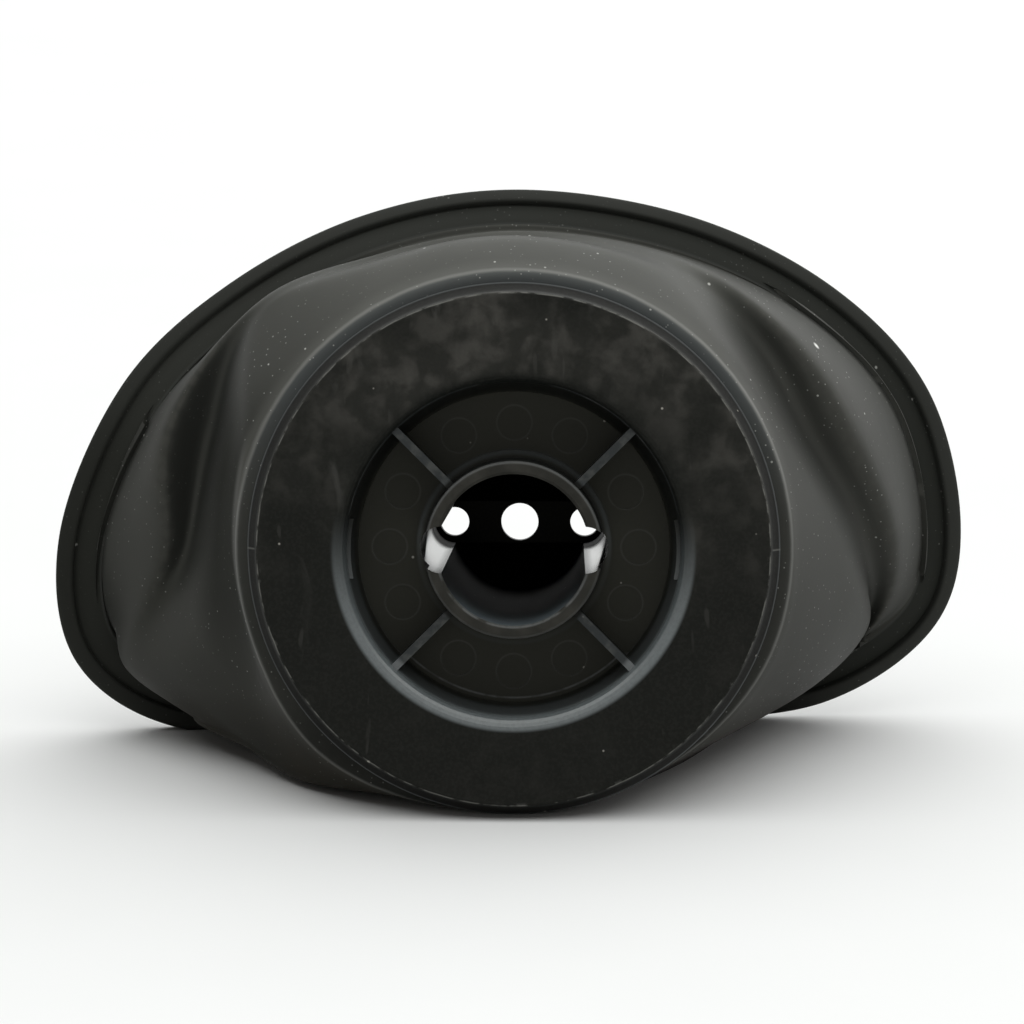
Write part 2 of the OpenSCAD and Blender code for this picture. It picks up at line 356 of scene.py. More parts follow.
def new_material(name):
    material = bpy.data.materials.new(name)
    material.use_nodes = True
    return material, Graph(material.node_tree)


# Height of the fine relief in both skins, and the faint yellow of their gloss
RELIEF = 0.05 * MM
GLOSS_TINT = (1, 1, 0.88, 1)


def skin_inputs(g, colour, height, strength):
    """Inputs that both shaders of a material share: its colour, its fine relief and its tint"""
    relief = {"Height": height, "Strength": strength, "Distance": RELIEF}
    normal = g.node("ShaderNodeBump", {}, relief)
    return {"Base Color": colour, "Normal": normal, "Specular Tint": GLOSS_TINT}


# Ejector marks in the pocket's floor: sizes in millimetres, and the angle from one to the next
MARK_R = 1.65
MARK_LINE = 0.16
MARK_RING_R = 11.75
MARK_STEP = math.radians(26.5)

# Regions of the slide, in millimetres. Each limit gives a measure, where the region's mask is 0 and
# where it is 1. The level is the distance above or below the axis.
REGIONS = {
    "face": [("depth", 0.5, 0.2), ("radius", 16, 17)],
    "side": [("radius", 24.1, 24.35), ("depth", 0.2, 0.5), ("depth", 2.6, 2.4)],
    "mouth": [("radius", 17.2, 16.7), ("radius", 14.6, 15.2), ("depth", 4.6, 3.2)],
    "pocket": [("depth", 3.5, 5.2), ("depth", 5.8, 5.7), ("radius", 17, 16), ("radius", 7.4, 7.7)],
    "floor": [("depth", 5, 5.4), ("depth", 5.8, 5.7), ("radius", 15.2, 14.9), ("radius", 9.2, 9.5)],
    "boss_top": [("radius", 9, 8.6), ("depth", 0.1, -0.1)],
    "boss_foot": [("depth", 0.3, 0.7), ("depth", 5.8, 5.7)],
    "bore": [("radius", 7.3, 7.15), ("depth", -0.3, -0.1), ("depth", 59.2, 58.8)],
    "deep": [("radius", 9.4, 9.3), ("depth", 5.8, 6.3), ("depth", 59.2, 58.8)],
    "groove": [
        ("level", 2.35, 2.2), ("radius", 8.25, 8.15), ("depth", -0.35, -0.1), ("depth", 59.2, 58.8),
    ],
    "barrel": [("radius", 9.5, 9.6), ("radius", 17.2, 17), ("depth", 5.8, 6)],
    "rib_top": [("radius", 8.6, 9), ("radius", 16, 15.6)],
}

# Colours on the slide, besides those of its finish, among them painted highlights, a painted shadow
# and a painted reflection
SIDE_BLACK = (0.005, 0.005, 0.005)
BARREL_SKIN = (0.0115, 0.012, 0.011)
SLID_STREAK = (0.05, 0.051, 0.048)
HOLLOW_BLACK = (0.004, 0.0045, 0.0045)
HAZE = (0.03, 0.0295, 0.0265)
SMUDGE = (0.07, 0.067, 0.061)
SCUFF = (0.085, 0.083, 0.078)
SCRATCH = (0.07, 0.068, 0.063)
BOSS_BROWN = (0.044, 0.042, 0.037)
MOUTH_WALL_HIGHLIGHT = (0.05, 0.056, 0.058)
MOUTH_ROUNDING_HIGHLIGHT = (0.125, 0.142, 0.146)
MARK_EDGE_HIGHLIGHT = (0.055, 0.055, 0.05)
FOOT_SHADOW = (0.003, 0.0035, 0.004)
FOOT_FILLET_HIGHLIGHT = (0.06, 0.067, 0.07)
BORE_REFLECTION = (0.075, 0.094, 0.104)
GRAIN = (0.028, 0.028, 0.0255)
RIM_HIGHLIGHT = (0.1, 0.106, 0.108)
RIB_TOP_HIGHLIGHT = (0.05, 0.055, 0.058)
EDGE_HIGHLIGHT = (0.15, 0.155, 0.155)
SLIDE_DUST = (0.45, 0.43, 0.39)

# Colours on the rubber, besides those of its finish, among them painted light, painted shade and
# painted highlights
CLOUD = (0.026, 0.027, 0.025)
PAINTED_LIGHT = (0.036, 0.037, 0.033)
SHADED_SKIN = (0.013, 0.0135, 0.0112)
LOW_BROWN_SHADE = (0.02, 0.0165, 0.0115)
BEAD_SKIN = (0.032, 0.033, 0.03)
PAINTED_SHADE = (0.0095, 0.01, 0.008)
SHOULDER_POWDER_AND_SHEEN = (0.075, 0.075, 0.069)
STRIP_PAINTED_SHADE = (0.012, 0.0125, 0.0115)
STRIP_PAINTED_LIGHT = (0.038, 0.043, 0.046)
CREST_WEAR_AND_HIGHLIGHT = (0.15, 0.151, 0.143)
LIP_HIGHLIGHT = (0.08, 0.082, 0.08)
LINT = (0.8, 0.8, 0.77)


def slide_regions(g):
    """Place on the slide in millimetres, and a mask of each of its regions"""
    across, upward, depth, radius = g.slide_place()
    at = SimpleNamespace(
        across=across, upward=upward, depth=depth, radius=radius, level=abs(upward)
    )
    for name, limits in REGIONS.items():
        masks = [g.step(getattr(at, measure), low, high) for measure, low, high in limits]
        setattr(at, name, reduce(mul, masks))
    at.hollow = at.bore.either(at.deep).either(at.groove)
    at.low_mouth = at.mouth * g.step(upward, 4, -9)
    return at


def skin_patterns(g):
    """Uneven patterns in the skin of the plastic: noise, cut off between two of its values"""
    shallow = g.noise(520, 2, stretch=(1, 1, 0.05), distortion=0.3, turn=-20)
    steep = g.noise(480, 2, stretch=(1, 1, 0.04), distortion=0.3, turn=55)
    scuffs = g.noise(420, 4, stretch=(1, 1, 0.25), distortion=0.6, turn=35)
    return SimpleNamespace(
        patch=g.step(g.noise(95, 6, distortion=0.3), 0.36, 0.68),
        mottle=g.step(g.noise(400, 6, distortion=0.2), 0.4, 0.68),
        grain=g.noise(3000, 2),
        scuffs=g.step(scuffs, 0.62, 0.8),
        scratches=g.step(shallow, 0.7, 0.74).either(g.step(steep, 0.71, 0.75)),
        broken=g.step(g.noise(700, 4), 0.4, 0.58),
    )


def mark_rings(g, at):
    """Edges of the ejector marks, where a highlight is painted: four groups of three on one circle
    in the pocket's floor
    """
    wide, narrow = abs(at.across).either(at.level), abs(at.across).lesser(at.level)
    places = [(MARK_RING_R, 0)]
    places.append((MARK_RING_R * math.cos(MARK_STEP), MARK_RING_R * math.sin(MARK_STEP)))
    distances = [((wide - x) ** 2 + (narrow - y) ** 2) ** 0.5 for x, y in places]
    return g.near(distances[0].lesser(distances[1]), MARK_R, MARK_LINE) * at.floor


def face_colour(g, at, pattern, finish):
    """Face with smudges, mostly on its upper half, and the pocket, barrel and hollow bore"""
    high = g.step(at.upward, -16, 20)
    patch, mottle = pattern.patch, pattern.mottle
    streaks = g.noise(520, 4, stretch=(1, 0.05, 1), distortion=0.2)
    slid = g.step(streaks, 0.5, 0.72) * g.step(at.depth, 8, 14) * at.barrel
    colour = g.mix(at.pocket, finish.face, finish.pocket)
    colour = g.mix(at.side, colour, SIDE_BLACK)
    colour = g.mix(at.barrel, colour, BARREL_SKIN)
    colour = g.mix((slid * 0.45).either(at.barrel * mottle * patch * 0.3), colour, SLID_STREAK)
    colour = g.mix(at.hollow, colour, HOLLOW_BLACK)
    colour = g.mix(patch * (0.04 + 0.5 * high) * at.face, colour, HAZE)
    colour = g.mix(mottle * patch * (0.08 + 0.72 * high) * at.face, colour, SMUDGE)
    colour = g.mix(pattern.scuffs * at.face * (0.1 + 0.4 * high), colour, SCUFF)
    colour = g.mix(pattern.scratches * at.face * 0.25, colour, SCRATCH)
    return g.mix(at.boss_top * (0.45 + 0.4 * mottle), colour, BOSS_BROWN)


def recess_colour(g, at, colour):
    """Painted highlights on the lower mouth and on the ejector marks' edges, painted shadow and
    highlight at the foot of the boss, and painted reflection on the lower wall of the bore
    """
    # Painted highlight on the wall and rounding of the mouth's lower half
    colour = g.mix(at.low_mouth * 0.8, colour, MOUTH_WALL_HIGHLIGHT)
    colour = g.mix(at.low_mouth * g.step(at.depth, 1.9, 0.9) * 0.9, colour, MOUTH_ROUNDING_HIGHLIGHT)
    # Painted highlight on the edges of the ejector marks
    colour = g.mix(mark_rings(g, at) * 0.7, colour, MARK_EDGE_HIGHLIGHT)
    # Painted shadow round the foot of the boss, and a painted highlight on its fillet, stronger on
    # the upper side
    colour = g.mix(g.near(at.radius, 8.5, 0.3) * at.boss_foot * 0.8, colour, FOOT_SHADOW)
    fillet_highlight = g.near(at.radius, 9, 0.4) * at.boss_foot * (0.25 + 0.75 * g.step(at.upward, -3, 4))
    colour = g.mix(fillet_highlight * 0.7, colour, FOOT_FILLET_HIGHLIGHT)
    # Painted reflection on the bore's lower wall, fading with depth
    bore_reflection = g.step(at.depth, 26, 3) * g.step(at.upward, -3, -6)
    return g.mix(bore_reflection * at.bore, colour, BORE_REFLECTION)


def face_flash(g, at, pattern):
    """Ragged flash round the edge of the face"""
    ragged = at.radius + 0.12 * (g.noise(900, 3) - 0.5)
    return g.near(ragged, FACE_R / MM - 0.12, 0.1) * g.step(at.depth, 0.6, 0.2) * pattern.broken


def edge_colour(g, at, pattern, flash, colour, worn):
    """Rubbed edges and painted edge highlights: rubbed flash, chips, mould seam and rib tops;
    painted highlights on the disc's rim, the rib tops, the pocket floor's edge, the boss and the
    bore
    """
    radius, depth, upward, broken = at.radius, at.depth, at.upward, pattern.broken
    chipped = g.near(radius, FACE_R / MM - 0.2, 0.3) * g.step(g.noise(900, 3), 0.6, 0.7) * broken
    rim = g.near(radius, DISC_R / MM - 0.05, 0.16) * g.step(depth, 1.7, 2.2)
    seam = g.near(upward, 0, 0.14) * g.step(radius, 24.1, 24.3)
    aslant = g.step(abs(at.across).lesser(at.level), 3, 4)
    rib_top = g.near(depth, 0.8, 0.15) * at.rib_top * aslant
    rib_wear = rib_top * g.step(g.noise(700, 3), 0.45, 0.65)
    # The edge of the floor lies a little further out at the sides than above and below
    floor_r = g.blend(g.step(abs(at.across) - at.level, -1, 1), 14.25, 14.8)
    # Painted highlights: the lower edge of the pocket's floor, the boss's edge, stronger above, and
    # the bore's lower edge
    floor_edge = g.near(radius, floor_r, 0.16) * at.floor * g.step(upward, 3, -4)
    floor_edge = floor_edge * (0.4 + 0.6 * broken)
    boss_edge = g.near(radius, 8.2, 0.22) * g.step(depth, 0.3, 0)
    boss_edge = boss_edge * (0.5 + 0.9 * g.step(upward, -2, 5))
    bore_edge = g.near(radius, 7.2, 0.2) * g.step(depth, 0.4, 0.2) * broken
    bore_edge = bore_edge * g.step(upward, 3, -5)
    colour = g.mix(flash * 0.7, colour, worn)
    colour = g.mix(chipped * 0.2, colour, worn)
    # Painted highlight along the disc's rim
    colour = g.mix(rim * 0.8, colour, RIM_HIGHLIGHT)
    colour = g.mix(seam * 0.4, colour, worn)
    # Painted highlight on the tops of the slanting ribs, then rubbed wear in patches on them
    colour = g.mix(rib_top * 0.6, colour, RIB_TOP_HIGHLIGHT)
    colour = g.mix(rib_wear * 0.2, colour, worn)
    # Painted highlights on the edges of the floor, the boss and the bore
    return g.mix(floor_edge * 0.8 + boss_edge * 0.4 + bore_edge * 0.7, colour, EDGE_HIGHLIGHT)


def plastic_material(finish):
    """Black moulded plastic: smudged face, rubbed edges, brownish pocket and glossier bore, with
    painted highlights, shadow and reflection in the mouth, pocket and bore and on the edges
    """
    material, g = new_material("slide_plastic")
    at, pattern = slide_regions(g), skin_patterns(g)
    flash = face_flash(g, at, pattern)
    colour = face_colour(g, at, pattern, finish)
    colour = recess_colour(g, at, colour)
    colour = g.mix(g.step(pattern.grain, 0.4, 0.66) * 0.17, colour, GRAIN)
    colour = edge_colour(g, at, pattern, flash, colour, finish.worn)
    dust = g.specks(230, 0.05, 0.25).either(g.specks(560, 0.09, 0.12))
    colour = g.mix(dust * 0.8, colour, SLIDE_DUST)

    rough = g.blend(pattern.patch, 0.46, 0.56)
    finishes = [
        (at.pocket, 0.42), (at.side, 0.75), (at.barrel, 0.38), (at.low_mouth, 0.3),
        (at.hollow, 0.09), (flash, 0.7),
    ]
    for region, roughness in finishes:
        rough = g.blend(region, rough, roughness)
    height = pattern.grain * 0.5 + g.noise(300, 3) * 0.6 + pattern.scratches * -0.4
    skin = skin_inputs(g, colour, height * (1 - at.hollow), 0.25)
    satin = {
        "Roughness": rough,
        "Specular IOR Level": 0.12,
        "Coat Weight": at.low_mouth,
        "Coat Roughness": 0.3,
    }
    dull = {"Roughness": 0.5, "Specular IOR Level": 0.02}
    outer = g.node("ShaderNodeBsdfPrincipled", {}, skin | satin)
    inner = g.node("ShaderNodeBsdfPrincipled", {}, skin | dull)
    # The hollow is dull, but its grooves are glossy over most of their depth
    shaded = at.hollow * g.step(at.level, 2, 2.4).either(g.step(at.depth, 40, 50))
    g.output(g.node("ShaderNodeMixShader", {}, [shaded, outer, inner]))
    return material


def rubber_dust(g, colour, finish, on_flange, powder_and_sheen):
    """Powder, dust, grit and lint, the finest mostly in patches and past the shoulder"""
    dusty = g.step(g.noise(90, 3), 0.42, 0.62)
    loose = 1 - 0.75 * on_flange
    powder = g.specks(1700, 0.17, 0.6) * (0.2 + 0.8 * dusty).either(powder_and_sheen) * loose
    dust = g.specks(620, 0.09, 0.4) * dusty.either(powder_and_sheen) * loose
    grit = g.specks(230, 0.05, 0.45) * (1 - 0.5 * on_flange)
    colour = g.mix(powder * 0.45, colour, finish.dust)
    colour = g.mix(dust * 0.85, colour, finish.dust)
    colour = g.mix(grit * 0.9, colour, finish.dust)
    lint = g.specks(120, 0.045, 0.1, stretch=(1, 1, 0.4), turn=25)
    return g.mix(lint, colour, LINT)


def rubber_material(finish):
    """Dark rubber: satin membrane with rubbed folds, and a flange with a matte moulded skin;
    painted light on the upper membrane and the flange's left side, painted shade low down and at
    the left flank, and painted highlights on the shoulder and the lip
    """
    material, g = new_material("rubber")
    across, upward = g.slide_place()[:2]
    on_flange, fold, beyond, outward = (g.attribute(name) for name in RUBBER_VALUES)
    near_disc = g.step(beyond, 0.15, -0.2)
    crest = g.near(beyond + 0.2 * (g.noise(500, 3) - 0.5), 0.1, 0.45)
    lip = g.near(outward, 0.05, 0.22)
    cloud = g.step(g.noise(60, 4, distortion=0.8), 0.3, 0.7)
    fine = g.noise(900, 3)
    low = g.step(upward, -10, -24) * g.step(g.noise(70, 4), 0.3, 0.6)
    rubbed = fold * g.step(fine, 0.3, 0.7)
    # Band just past the shoulder: powder, and a painted sheen that is stronger on top
    powder_and_sheen = g.step(beyond, 2.2, 0) * g.step(beyond, -0.3, 0.1)
    powder_and_sheen = powder_and_sheen * (0.35 + 0.65 * g.step(upward, -5, 15))
    # Painted shade on the membrane at the left, past the shoulder
    painted_shade = g.step(across, -17, -25) * g.step(beyond, 14, 6) * g.step(beyond, 0.6, 1.8)
    painted_shade = painted_shade * g.step(upward, 18, 6) * (0.45 + 0.55 * g.step(upward, -14, -4))

    colour = g.mix(cloud * 0.5, finish.membrane, CLOUD)
    # Painted light on the membrane's top
    colour = g.mix(g.step(upward, 20, 28) * 0.5, colour, PAINTED_LIGHT)
    # Painted shade on the lower membrane, and brownish painted shade in patches low down
    colour = g.mix(g.step(upward, 8, -14) * 0.7, colour, SHADED_SKIN)
    colour = g.mix(low * 0.85, colour, LOW_BROWN_SHADE)
    colour = g.mix(on_flange, colour, finish.flange)
    # Painted light on the flange's left side
    colour = g.mix(on_flange * g.step(across, 5, -38) * 0.8, colour, PAINTED_LIGHT)
    colour = g.mix(on_flange * g.step(outward, 2.65, 3) * 0.8, colour, BEAD_SKIN)
    colour = g.mix(rubbed * 0.5, colour, finish.worn)
    # Painted shade at the left flank
    colour = g.mix(painted_shade * 0.75, colour, PAINTED_SHADE)
    # Powder and a painted sheen just past the shoulder
    colour = g.mix(powder_and_sheen * 0.6, colour, SHOULDER_POWDER_AND_SHEEN)
    # Painted light and shade on the strip between the disc's rim and the shoulder: light above,
    # shade below
    strip_light_and_shade = g.mix(g.step(upward, 2, 18), STRIP_PAINTED_SHADE, STRIP_PAINTED_LIGHT)
    colour = g.mix(near_disc * 0.85, colour, strip_light_and_shade)
    # Rubbed line along the shoulder's crest, with a painted highlight that is stronger on top
    colour = g.mix(crest * (0.5 + 0.35 * g.step(upward, 0, 18)), colour, CREST_WEAR_AND_HIGHLIGHT)
    # Painted highlight along the flange's lip
    colour = g.mix(lip * 0.22, colour, LIP_HIGHLIGHT)
    colour = rubber_dust(g, colour, finish, on_flange, powder_and_sheen)

    skin = skin_inputs(g, colour, fine * 0.6 + g.noise(2500, 2) * 0.4, 0.2)
    satin = {
        "Roughness": g.blend(crest, g.blend(cloud, 0.44, 0.54), 0.36),
        "Specular IOR Level": 0.25,
        "Sheen Weight": 0.07,
        "Sheen Roughness": 0.4,
    }
    matte = {"Roughness": 0.62, "Specular IOR Level": 0.06}
    membrane = g.node("ShaderNodeBsdfPrincipled", {}, skin | satin)
    flange = g.node("ShaderNodeBsdfPrincipled", {}, skin | matte)
    dull = on_flange.either(painted_shade * 0.9).either(g.step(upward, 5, -14) * 0.4)
    dull = dull.either(g.step(upward, -9, -20) * 0.85)
    g.output(g.node("ShaderNodeMixShader", {}, [dull, membrane, flange]))
    return material


# Sixteen meridians run from the disc to the flange. Each guide below has one entry a meridian,
# anticlockwise from the right as the viewer sees the disc.
MERIDIANS = 16
ROUNDS_EACH = 24
LINES_EACH = 8
ROUNDS = MERIDIANS * ROUNDS_EACH

# Flange edge as it stands: share of the half width to the right, share of the height
FLANGE_EDGE = [
    (0.990, 0.365), (0.910, 0.622), (0.695, 0.815), (0.380, 0.948),
    (0.005, 1.000), (-0.330, 0.957), (-0.630, 0.832), (-0.862, 0.652),
    (-1.008, 0.378), (-0.980, 0.135), (-0.750, 0.003), (-0.360, 0.000),
    (0.000, 0.000), (0.340, 0.000), (0.690, 0.033), (0.930, 0.170),
]
# Turn of the flange's band about its edge in degrees, positive where it faces outwards
FLANGE_TURN = [30, 30, 36, 40, 45, 42, 35, 25, 10, 0, 0, 0, 0, 0, 30, 38]
# Flattening of the shoulder where the disc's weight presses on it
SHOULDER_PRESS = [0, 0, 0, 0, 0, 0, 0, 0, 0, 0, -0.35, 0.35, 1, 1, 0.5, 0]
SHOULDER_GIVE = 1.4 * MM
# Share of the way out from the disc's rim to the shoulder at which the rubber rises
SHOULDER_RISE = 0.6
# Folds: share of the way out to the flange, share of the way back to it, and lift in millimetres
FOLD_CREST = [
    (0.34, 0.38, 0), (0.12, 0.18, 0), (0.15, 0.15, 0), (0.42, 0.38, 0.5),
    (0.70, 0.48, 0), (0.60, 0.48, 0.5), (0.62, 0.50, 1.2), (0.16, 0.14, 0),
    (0.08, 0.18, 0), (0.10, 0.14, 0), (0.28, 0.26, -3), (0.60, 0.14, -5),
    (0.25, 0.28, -0.6), (0.30, 0.24, -3), (0.70, 0.68, -2), (0.70, 0.72, -0.5),
]
FOLD_VALLEY = [
    (0.55, 0.66, 0), (0.29, 0.46, 0), (0.40, 0.54, 0), (0.70, 0.62, 0),
    (0.66, 0.80, 0), (0.75, 0.78, 0), (0.75, 0.66, 1.9), (0.44, 0.86, 0),
    (0.35, 0.70, 0), (0.62, 0.54, -0.8), (0.60, 0.46, -2.5), (1.00, 0.48, -7),
    (0.38, 0.53, 0), (0.70, 0.45, -6), (0.78, 1.00, -1), (0.72, 0.98, 0),
]
FOLD_RIDGE = [
    (0.78, 0.70, 0), (0.62, 0.47, 0), (0.70, 0.54, 0), (0.88, 0.80, 0),
    (0.84, 0.94, 0), (0.88, 0.90, 0), (0.82, 0.78, 2.2), (0.80, 0.70, 0),
    (0.57, 0.66, 0), (0.93, 0.80, -1.6), (0.94, 0.70, -2.5), (1.20, 0.75, -8),
    (0.53, 0.79, 0), (0.90, 0.67, -6), (0.90, 1.04, -1), (0.84, 0.94, 0),
]
# Tuck from which the membrane leaves the flange: millimetres inside and behind its lip
LIP_TUCK = [
    (0.4, -0.3), (0.4, -0.3), (0.4, -0.3), (0.5, 0.1), (0.6, 0.3), (0.6, 0.3), (0.4, 0.2),
    (0.4, -0.2), (0.4, -0.2), (0.4, -0.1), (0.4, 0.3), (0.5, 0.8), (0.5, 0.8), (0.5, 0.8),
    (0.5, 0.3), (0.6, 0.0),
]
# Run of the band that gives the membrane its direction where it meets the lip
LIP_RUN = 1 * MM
# Lines by the disc's rim that have no back of their own, because the inner bead lies behind them
RIM_LINES = 3

# Section of the flange, in millimetres outward and forward: flat band from its lip, and narrow
# parting groove about the band's outer line
BAND_START = [(0, 0), (0.1, 0)]
PARTING_GROOVE = [(-0.3, 0), (-0.15, -0.12), (0.02, -0.12)]
# Bead in millimetres outward and shares of its height: from the band's outer line, to the edge
BEAD_INNER = [(0.06, 0.6), (0.2, 0.93), (0.4, 1)]
BEAD_OUTER = [(-0.45, 1), (-0.2, 0.9), (-0.06, 0.65), (0, 0.25)]
# Rounding behind the edge, and distance of the back's last line from the lip
EDGE_ROUND = 0.2 * MM
LIP_BACK = 0.3 * MM

# Values that the mesh carries for its finish: flange and fold from 0 to 1, and in millimetres the
# distance beyond the shoulder, negative on the disc's side, and outward from the flange's lip
RUBBER_VALUES = ("flange", "fold", "beyond", "outward")
FAR_OFF = 9.0
# Added to the distance between lines, so that close ones don't read as sharp folds
BEND_ROOM = 0.1 * MM
SHARP_ANGLE = math.radians(50)


def curve_between(a, b, c, d, s):
    """Catmull-Rom curve from b to c"""
    linear = 2 * b + (c - a) * s
    return (linear + (2 * a - 5 * b + 4 * c - d) * s**2 + (3 * b - a - 3 * c + d) * s**3) / 2


def around(guide):
    """A guide's rows, drawn smoothly through all meridians"""
    rows = np.array(guide, float).reshape(MERIDIANS, -1)
    spans = [np.roll(rows, shift, axis=0) for shift in (1, 0, -1, -2)]
    shares = np.arange(ROUNDS_EACH)[:, None] / ROUNDS_EACH
    return np.concatenate([curve_between(*ends, shares) for ends in zip(*spans)])


def unit(vectors):
    return vectors / np.linalg.norm(vectors, axis=-1, keepdims=True)


def lengths(vectors):
    return np.linalg.norm(vectors, axis=2)


def disc_ring(radius, depth):
    """Circle about the slide's axis, its radius one number or one for each round"""
    angles = np.arange(ROUNDS) * math.tau / ROUNDS
    right, up = np.outer(radius * np.cos(angles), RIGHT), np.outer(radius * np.sin(angles), UP)
    return FACE + right + up + depth * ALONG


class Flange:
    """The flange as it stands: its lip, its sizes, and the directions of its flat band"""

    def __init__(self, sizes):
        share = around(FLANGE_EDGE)
        right = share[:, 0] * sizes.ring_w / 2
        z = np.maximum(share[:, 1], 0) * sizes.ring_h
        back = sizes.ring_back + right * math.tan(sizes.ring_yaw) - z * math.tan(sizes.ring_lean)
        edge = np.stack([FACE[0] + right, FACE[1] + back, z], axis=1)
        run = unit(np.roll(edge, -1, axis=0) - np.roll(edge, 1, axis=0))
        inward = unit(np.cross(run, ALONG))
        front = unit(np.cross(run, inward))
        front *= -np.sign(front @ ALONG)[:, None]
        turn = np.radians(around(FLANGE_TURN))
        self.inward = inward * np.cos(turn) + front * np.sin(turn)
        self.front = front * np.cos(turn) - inward * np.sin(turn)
        self.band_w, self.width = sizes.band_w, sizes.band_w + sizes.bead_w
        self.bead_h, self.thickness = sizes.bead_h, sizes.flange_t
        self.lip = edge + self.width * self.inward

    def line(self, outward, forward):
        """Line round the flange at a distance outward from the lip and forward of the band"""
        outward, forward = (np.broadcast_to(d, ROUNDS)[:, None] for d in (outward, forward))
        return self.lip - outward * self.inward + forward * self.front

    def front_section(self):
        """Distances outward and forward, from the lip over the band to the bead's outer edge"""
        places = [(out * MM, forward * MM) for out, forward in BAND_START]
        places += [(self.band_w + out * MM, forward * MM) for out, forward in PARTING_GROOVE]
        places += [(self.band_w + out * MM, share * self.bead_h) for out, share in BEAD_INNER]
        places += [(self.width + out * MM, share * self.bead_h) for out, share in BEAD_OUTER]
        return places

    def back_section(self):
        """Distances outward and forward, from the edge behind the bead back to the lip"""
        return [
            (self.width, EDGE_ROUND - self.thickness),
            (self.width - EDGE_ROUND, -self.thickness),
            (LIP_BACK, -self.thickness),
        ]


def fold_line(guide, shoulder, lip):
    share = around(guide)
    way = lip - shoulder
    back = np.outer(way @ ALONG, ALONG)
    lift = share[:, 2:] * MM * np.array([0, 0, 1])
    return shoulder + share[:, :1] * (way - back) + share[:, 1:2] * back + lift


def closed_loft(name, lines, values):
    """Mesh through closed lines, the last of which joins the first; values are vertex attributes"""
    stations, rounds = len(lines), len(lines[0])
    k, i = np.meshgrid(np.arange(stations), np.arange(rounds), indexing="ij")
    following, beside = (k + 1) % stations, (i + 1) % rounds
    corners = [(k, i), (k, beside), (following, beside), (following, i)]
    quads = np.stack([line * rounds + place for line, place in corners], axis=-1)
    mesh = bpy.data.meshes.new(name)
    mesh.from_pydata(np.concatenate(lines).tolist(), [], quads.reshape(-1, 4).tolist())
    for key, value in values.items():
        attribute = mesh.attributes.new(key, "FLOAT", "POINT")
        attribute.data.foreach_set("value", np.concatenate(value).astype(np.float32))
    mesh.validate()
    mesh.shade_smooth()
    mesh.set_sharp_from_angle(angle=SHARP_ANGLE)
    piece = bpy.data.objects.new(name, mesh)
    bpy.context.scene.collection.objects.link(piece)
    return piece


def membrane_lines(sizes, flange, shoulder, press):
    """Lines of the membrane's front, from the disc's rim over the shoulder and folds to the lip"""
    rise_r = DISC_R + SHOULDER_RISE * (sizes.shoulder_r - DISC_R)
    rim = disc_ring(DISC_R, DISC_LIP + BEAD_GAP)
    rise = disc_ring(rise_r - press, DISC_LIP + 2 * BEAD_GAP)
    folds = (FOLD_CREST, FOLD_VALLEY, FOLD_RIDGE)
    folds = [fold_line(guide, shoulder, flange.lip) for guide in folds]
    inside, behind = around(LIP_TUCK).T * MM
    tuck = flange.line(-inside, -behind)
    guides = [rise, shoulder, *folds, tuck, flange.lip, flange.line(LIP_RUN, 0)]
    membrane = [
        curve_between(*guides[k - 1:k + 3], j / LINES_EACH)
        for k in range(1, len(guides) - 2)
        for j in range(LINES_EACH)
    ]
    front = np.array([rim, rise, *membrane])
    front[..., 2] = np.maximum(front[..., 2], 0)
    return front


def bead_lines(sizes, press):
    """Lines of the inner bead, from behind the shoulder round the disc's groove"""
    behind, ahead = GROOVE_END - BEAD_GAP, DISC_LIP + BEAD_GAP
    return [
        disc_ring(sizes.shoulder_r - sizes.skin - press, behind),
        disc_ring(REAR_LIP_R + BEAD_GAP, behind),
        disc_ring(GROOVE_R + 2 * BEAD_GAP, behind),
        disc_ring(GROOVE_R + 2 * BEAD_GAP, ahead),
    ]


def rubber_lines(sizes):
    """Closed lines once round the section of the rubber, and the values that they carry"""
    flange = Flange(sizes)
    press = SHOULDER_GIVE * around(SHOULDER_PRESS)[:, 0]
    shoulder = disc_ring(sizes.shoulder_r - press, sizes.shoulder_depth)
    front = membrane_lines(sizes, flange, shoulder, press)
    # Each line's slope leads from the line before it to the next, and for the last one to the lip
    slope = np.roll(front, -1, axis=0) - np.roll(front, 1, axis=0)
    slope[-1] = flange.lip - front[-2]
    run = np.roll(front, -1, axis=1) - np.roll(front, 1, axis=1)
    normal = unit(np.cross(run, slope))
    back = (front + sizes.skin * normal)[RIM_LINES:][::-1]
    back[..., 2] = np.maximum(back[..., 2], sizes.skin)

    band, rear = flange.front_section(), flange.back_section()
    flange_lines = [flange.line(*place) for place in band + rear]
    lines = [*front, *flange_lines, *back, *bead_lines(sizes, press)]
    lines = [np.maximum(line, [-1, -1, 0]) for line in lines]

    on_flange = [0] * len(front) + [1] * len(flange_lines)
    # The rim and the rise lie on the disc's side of the shoulder
    beyond = lengths(front - shoulder) / MM
    beyond[:2] *= -1
    outward = [*(lengths(front - flange.lip) / -MM), *(place[0] / MM for place in band)]
    values = {
        "flange": filled(on_flange, len(lines), 0),
        "fold": filled(fold_values(front, normal), len(lines), 0),
        "beyond": filled(beyond, len(lines), FAR_OFF),
        "outward": filled(outward, len(lines), FAR_OFF),
    }
    return lines, values


def filled(values, count, rest):
    """One row of values a line: those given, and the rest the same"""
    rows = [np.broadcast_to(value, ROUNDS) for value in values]
    return rows + [np.full(ROUNDS, rest)] * (count - len(rows))


